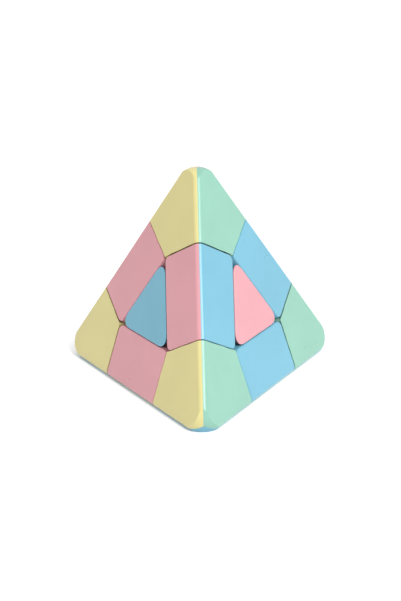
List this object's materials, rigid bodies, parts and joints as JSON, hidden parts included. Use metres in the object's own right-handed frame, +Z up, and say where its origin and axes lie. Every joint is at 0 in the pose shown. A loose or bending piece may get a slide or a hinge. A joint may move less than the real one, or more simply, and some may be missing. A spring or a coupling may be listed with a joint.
{
  "type": "tetrahedral twisty puzzle",
  "caption": "Pyramid-shaped twisty puzzle in pastel plastic, with kite-shaped corners, wedge-shaped edges and a small triangle in the middle of each face.",
  "frame": {"origin": "The centre of the base face, on the surface the puzzle stands on.", "axes": "+Z points up through the top tip, -Y towards the front tip, and the left and right tips lie towards -X and +X, a little towards +Y."},
  "size_m": [0.0874, 0.077, 0.072],
  "materials": {
    "yellow_plastic": "satin gloss",
    "mint_plastic": "satin gloss",
    "blue_plastic": "satin gloss",
    "pink_plastic": "satin gloss",
    "inner_plastic": "satin",
    "core_plastic": "satin",
    "screw_steel": "zinc plated",
    "washer_steel": "plain",
    "spring_steel": "drawn wire"
  },
  "bodies": {
    "base_half": {"core": "core_plastic", "axis_screws": "screw_steel", "screw_washers": "washer_steel", "front_spring": "spring_steel", "left_spring": "spring_steel", "right_spring": "spring_steel", "base_left_edge_foot": "inner_plastic", "base_left_edge_left_shell": "pink_plastic", "base_left_edge_base_shell": "mint_plastic", "base_right_edge_foot": "inner_plastic", "base_right_edge_base_shell": "mint_plastic", "base_right_edge_right_shell": "blue_plastic", "base_back_edge_foot": "inner_plastic", "base_back_edge_back_shell": "yellow_plastic", "base_back_edge_base_shell": "mint_plastic", "base_centre_foot": "inner_plastic", "base_centre_cap": "yellow_plastic"},
    "top_layer": {"top_spring": "spring_steel", "front_edge_foot": "inner_plastic", "front_edge_left_shell": "pink_plastic", "front_edge_right_shell": "blue_plastic", "right_edge_foot": "inner_plastic", "right_edge_right_shell": "blue_plastic", "right_edge_back_shell": "yellow_plastic", "left_edge_foot": "inner_plastic", "left_edge_back_shell": "yellow_plastic", "left_edge_left_shell": "pink_plastic", "back_centre_foot": "inner_plastic", "back_centre_cap": "mint_plastic", "right_centre_foot": "inner_plastic", "right_centre_cap": "pink_plastic", "left_centre_foot": "inner_plastic", "left_centre_cap": "blue_plastic"},
    "top_corner": {"top_corner_hub": "inner_plastic", "top_corner_left_shell": "yellow_plastic", "top_corner_right_shell": "mint_plastic", "top_corner_back_shell": "pink_plastic"},
    "front_corner": {"front_corner_hub": "inner_plastic", "front_corner_left_shell": "yellow_plastic", "front_corner_base_shell": "blue_plastic", "front_corner_right_shell": "mint_plastic"},
    "left_corner": {"left_corner_hub": "inner_plastic", "left_corner_back_shell": "pink_plastic", "left_corner_base_shell": "blue_plastic", "left_corner_left_shell": "yellow_plastic"},
    "right_corner": {"right_corner_hub": "inner_plastic", "right_corner_right_shell": "mint_plastic", "right_corner_base_shell": "blue_plastic", "right_corner_back_shell": "pink_plastic"}
  },
  "joints": [
    {"name": "top_layer_turn", "type": "hinge", "parent": "base_half", "child": "top_layer", "pos_m": [0, 0, 0.02], "axis": [0, 0, 1], "continuous": true},
    {"name": "top_corner_lift", "type": "slide", "parent": "top_layer", "child": "top_corner", "axis": [0, 0, 1], "range_m": [0, 0.0008], "stiffness_N_per_m": 1200, "deforming": ["top_spring"]},
    {"name": "front_corner_lift", "type": "slide", "parent": "base_half", "child": "front_corner", "axis": [0, -0.9428, -0.3333], "range_m": [0, 0.0008], "stiffness_N_per_m": 1200, "deforming": ["front_spring"]},
    {"name": "left_corner_lift", "type": "slide", "parent": "base_half", "child": "left_corner", "axis": [-0.8165, 0.4714, -0.3333], "range_m": [0, 0.0008], "stiffness_N_per_m": 1200, "deforming": ["left_spring"]},
    {"name": "right_corner_lift", "type": "slide", "parent": "base_half", "child": "right_corner", "axis": [0.8165, 0.4714, -0.3333], "range_m": [0, 0.0008], "stiffness_N_per_m": 1200, "deforming": ["right_spring"]}
  ]
}
